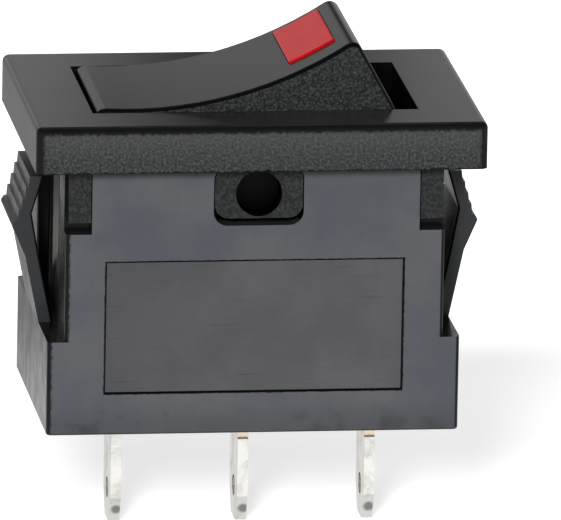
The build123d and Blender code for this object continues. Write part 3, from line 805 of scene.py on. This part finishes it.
# %% Give each piece its finish
finishes = {
    "bezel_frame": bezel_plastic,
    "housing_base": housing_plastic,
    "rocker": rocker_plastic,
    "rocker_lens": lens_red,
    "plunger": plunger_plastic,
    "spring_cap": cap_brass,
    "plunger_spring": spring_steel,
    "terminal_lamp": tinned_brass,
    "terminal_common": nicked_brass,
    "terminal_load": nicked_brass,
    "contact_lever": lever_copper,
    "moving_contact": contact_silver,
    "fixed_contact": contact_silver,
    "lamp": lamp_glass,
    "lamp_resistor": resistor_body,
    "lead_sleeve": sleeve_plastic,
    "lamp_contact_spring": spring_steel,
    "lamp_lead_common": lead_wire,
    "lamp_lead_resistor": lead_wire,
    "lamp_lead_contact": lead_wire,
}
for name, finish in finishes.items():
    for slot in nodes[name].material_slots:
        slot.material = finish
print("finished", len(finishes), "pieces of", len(nodes))

# %% [markdown]
# ## The plunger's spring
#
# Inside the rocker a small steel spring sits between its cap and the plunger's head, and it has to
# get shorter as the plunger slides in. A rigid spring would cut through the head. It could be bent
# by hand for each position, but one scene has to hold at all of them. Here a copy of the spring,
# its corners joined again, is attached to the rocker in its place with a mesh of its own; it is not
# flattened by the plunger's travel.

# %% Copy the spring


def place_in_scene(obj):
    bpy.context.scene.collection.objects.link(obj)
    return obj


spring_mesh = nodes["plunger_spring"].data.copy()
spring_shape = bmesh.new()
spring_shape.from_mesh(spring_mesh)
bmesh.ops.remove_doubles(spring_shape, verts=spring_shape.verts, dist=0.0001 * MM)
spring_shape.to_mesh(spring_mesh)
spring_shape.free()
working_spring = place_in_scene(bpy.data.objects.new("working_spring", spring_mesh))
print("spring with", len(spring_mesh.vertices), "corners")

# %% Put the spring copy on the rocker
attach(working_spring, "rocker")
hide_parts("plunger_spring")
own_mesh(working_spring)

# %% [markdown]
# ## The camera
#
# A very long lens from well back, a little to the left and above, turned very slightly: the switch
# is seen almost without perspective, as a catalogue shows small parts. The camera could be aimed at
# a target, but then it couldn't be rolled or framed off centre. So it is placed by its angles about
# the switch and then moved sideways in its own plane.

# %% Camera
azimuth, elevation, roll = (math.radians(angle) for angle in (7.53, 14.23, 1.03))
distance = 731 * MM
framing = Vector((1.765 * MM, -5.897 * MM))
focal_length = 1006.3
towards = Vector(
    (
        -math.sin(azimuth) * math.cos(elevation),
        -math.cos(azimuth) * math.cos(elevation),
        math.sin(elevation),
    )
)
level = Vector((0, 0, 1)).cross(towards).normalized()
upright = towards.cross(level)
right = math.cos(roll) * level + math.sin(roll) * upright
up = math.cos(roll) * upright - math.sin(roll) * level
camera_data = bpy.data.cameras.new("studio_camera")
camera_data.sensor_width = 36.0
camera_data.lens = focal_length
camera_data.clip_start = 0.01
camera_data.clip_end = 10.0
camera = place_in_scene(bpy.data.objects.new("studio_camera", camera_data))
turn = Matrix((right, up, towards)).transposed().to_4x4()
spot = distance * towards + framing.x * right + framing.y * up
camera.matrix_world = Matrix.Translation(spot) @ turn
bpy.context.scene.camera = camera
print("camera at", [round(c, 3) for c in camera.location])

# %% [markdown]
# ## Floor
#
# The switch stands on its three terminals on white paper. Paper lit by lamps alone turns grey away
# from them, and more light would burn out the terminals. So to the camera the paper glows steadily
# and takes only a share of real light on top, which is enough for a shadow to show. The glow is a
# little stronger just in front, and full towards the back, where the shadow fades out. To the gloss
# it is a bright sheet that gets duller further out and in front.

# %% Sheets and plain node trees


def sheet(name, size, place):
    """A flat square sheet, square to Z, made in place."""
    shape = bmesh.new()
    bmesh.ops.create_grid(shape, x_segments=1, y_segments=1, size=size, matrix=place)
    mesh = bpy.data.meshes.new(name)
    shape.to_mesh(mesh)
    shape.free()
    obj = place_in_scene(bpy.data.objects.new(name, mesh))
    return obj


def empty_tree(holder):
    """The node tree of a material or world, with nothing in it yet."""
    holder.use_nodes = True
    holder.node_tree.nodes.clear()
    return holder.node_tree


def coordinates(tree, kind):
    place = add(tree, "ShaderNodeTexCoord").outputs[kind]
    return add(tree, "ShaderNodeSeparateXYZ", {0: place}).outputs


print("stage helpers ready")

# %% Floor
floor_height = cad_box[0][2] - 0.01 * MM
floor = sheet("floor", 160 * MM, Matrix.Translation((0.0, 60 * MM, floor_height)))
paper = bpy.data.materials.new("white_floor")
tree = empty_tree(paper)
path = add(tree, "ShaderNodeLightPath").outputs
matt = add(tree, "ShaderNodeBsdfDiffuse", {"Color": (0.8, 0.8, 0.8, 1.0)})
on_floor = coordinates(tree, "Object")
x, y = on_floor["X"], on_floor["Y"]
back_light = ramp(tree, y, 27 * MM, 37 * MM, 0.6, 1.0)
front_light = ramp(tree, y, 3 * MM, 14 * MM, 0.1, 0.0)
glow = times(tree, path["Is Camera Ray"], plus(tree, back_light, front_light))
steady = add(tree, "ShaderNodeEmission", {"Strength": glow})
lit = add(tree, "ShaderNodeAddShader", {0: matt.outputs[0], 1: steady.outputs[0]})
reach = calculate(tree, "SQRT", plus(tree, times(tree, x, x), times(tree, y, y)))
in_front = ramp(tree, y, -8 * MM, -2 * MM, 1.0, 0.7)
near = times(tree, ramp(tree, reach, 24 * MM, 44 * MM, 1.0, 0.5), in_front)
sheen = add(tree, "ShaderNodeEmission", {"Strength": near})
mirrored = larger(tree, path["Is Glossy Ray"], path["Is Transmission Ray"])
surface = {0: mirrored, 1: lit.outputs[0], 2: sheen.outputs[0]}
surface = add(tree, "ShaderNodeMixShader", surface).outputs[0]
add(tree, "ShaderNodeOutputMaterial", {"Surface": surface})
floor.data.materials.append(paper)
print("floor at", round(floor_height / MM, 2), "mm")

# %% [markdown]
# ## What the gloss sees
#
# A black top mirrors whatever stands behind it. Here that is a pale card that only the gloss sees.
# It gives the satin top its soft light, stronger to the sides than in the middle, where the raised
# rocker draws its dark reflection in the bezel. It ends halfway up, because what leans further
# back, such as a rounded edge, should mirror the dark of the studio. A whole room round the switch
# would give richer reflections, but none that could be put where the form needs them.

# %% Card behind the switch
card_distance = 60 * MM
stand = Matrix.Translation((0.0, card_distance, 20 * MM)) @ Matrix.Rotation(math.pi / 2, 4, "X")
card = sheet("reflection_card", 90 * MM, stand)
card.visible_camera = False
card.visible_diffuse = False
card.visible_transmission = False
card.visible_shadow = False
pale = bpy.data.materials.new("pale_card")
tree = empty_tree(pale)
on_card = coordinates(tree, "Object")
x, z = on_card["X"], on_card["Z"]
across = ramp(tree, distance_from(tree, x, 8 * MM), 1 * MM, 12 * MM, 0.1, 0.57)
low_part = ramp(tree, z, -6 * MM, 8 * MM, 1.0, 0.0)
far_left = ramp(tree, x, -30 * MM, -21 * MM, 0.45, 1.0)
upper_part = ramp(tree, z, 19 * MM, 22 * MM, 1.0, 0.6)
fading = ramp(tree, z, 26 * MM, 40 * MM, 1.0, 0.06)
card_light = both(tree, either(tree, low_part, across, 0.36), far_left, upper_part, fading)
card_glow = add(tree, "ShaderNodeEmission", {"Strength": card_light})
add(tree, "ShaderNodeOutputMaterial", {"Surface": card_glow.outputs[0]})
card.data.materials.append(pale)
print("card", round(card_distance / MM), "mm behind")

# %% [markdown]
# ## The studio around it
#
# The world is white to the camera, so the background is clean, and white through glass too. To
# matt surfaces it is only a weak even light, which keeps the shadows from going black. To the gloss
# it is grey low down and almost dark overhead, and that is what draws the dark line along every
# rounded edge.

# %% Surroundings
world = bpy.data.worlds.new("studio")
bpy.context.scene.world = world
tree = empty_tree(world)
height = coordinates(tree, "Generated")["Z"]
mirrored_sky = ramp(tree, height, 0.3, 0.55, 0.3, 0.04)
path = add(tree, "ShaderNodeLightPath").outputs
see_through = larger(tree, path["Is Camera Ray"], path["Is Transmission Ray"])
ambient = either(tree, path["Is Glossy Ray"], 0.14, mirrored_sky)
strength = either(tree, see_through, ambient, 1.0)
sky_glow = {"Color": (1.0, 1.0, 1.0, 1.0), "Strength": strength}
sky_glow = add(tree, "ShaderNodeBackground", sky_glow)
add(tree, "ShaderNodeOutputWorld", {"Surface": sky_glow.outputs[0]})
print("surroundings ready")

# %% [markdown]
# ## Lamps
#
# A key lamp left of the camera lights the front and throws the soft shadow to the right and back.
# How soft it is depends on how large the lamp looks from the switch. A weak fill on the right and
# one lamp overhead even it out. They light the pigment only: their own reflections are left out,
# because they would be hard ovals on the gloss, and the card does that job.

# %% Lamps


def lamp(name, bearing, height, away_mm, wide_mm, tall_mm, watts):
    """A soft oval lamp, aimed at the switch. Bearing is degrees to the right of straight ahead,
    and height is degrees above the horizon."""
    data = bpy.data.lights.new(name, "AREA")
    data.shape = "ELLIPSE"
    data.size = wide_mm * MM
    data.size_y = tall_mm * MM
    data.energy = watts
    obj = place_in_scene(bpy.data.objects.new(name, data))
    side, rise = math.radians(bearing), math.radians(height)
    flat = math.cos(rise)
    out = Vector((math.sin(side) * flat, -math.cos(side) * flat, math.sin(rise)))
    middle = Vector((0.0, 0.0, -6 * MM))
    obj.location = middle + out * away_mm * MM
    obj.rotation_euler = (-out).to_track_quat("-Z", "Y").to_euler()
    obj.visible_glossy = False
    return obj


wide = {"away_mm": 420, "wide_mm": 260, "tall_mm": 220}
lamp("key_lamp", bearing=-16, height=22, away_mm=420, wide_mm=90, tall_mm=95, watts=1.62)
lamp("fill_lamp", bearing=24, height=14, **wide, watts=0.15)
lamp("top_lamp", bearing=0, height=84, **wide, watts=0.3)
print("lamps:", len(bpy.data.lights))

# %% [markdown]
# ## The view transform
#
# The render uses the Standard view transform.

# %% Finish
bpy.context.scene.view_settings.view_transform = "Standard"
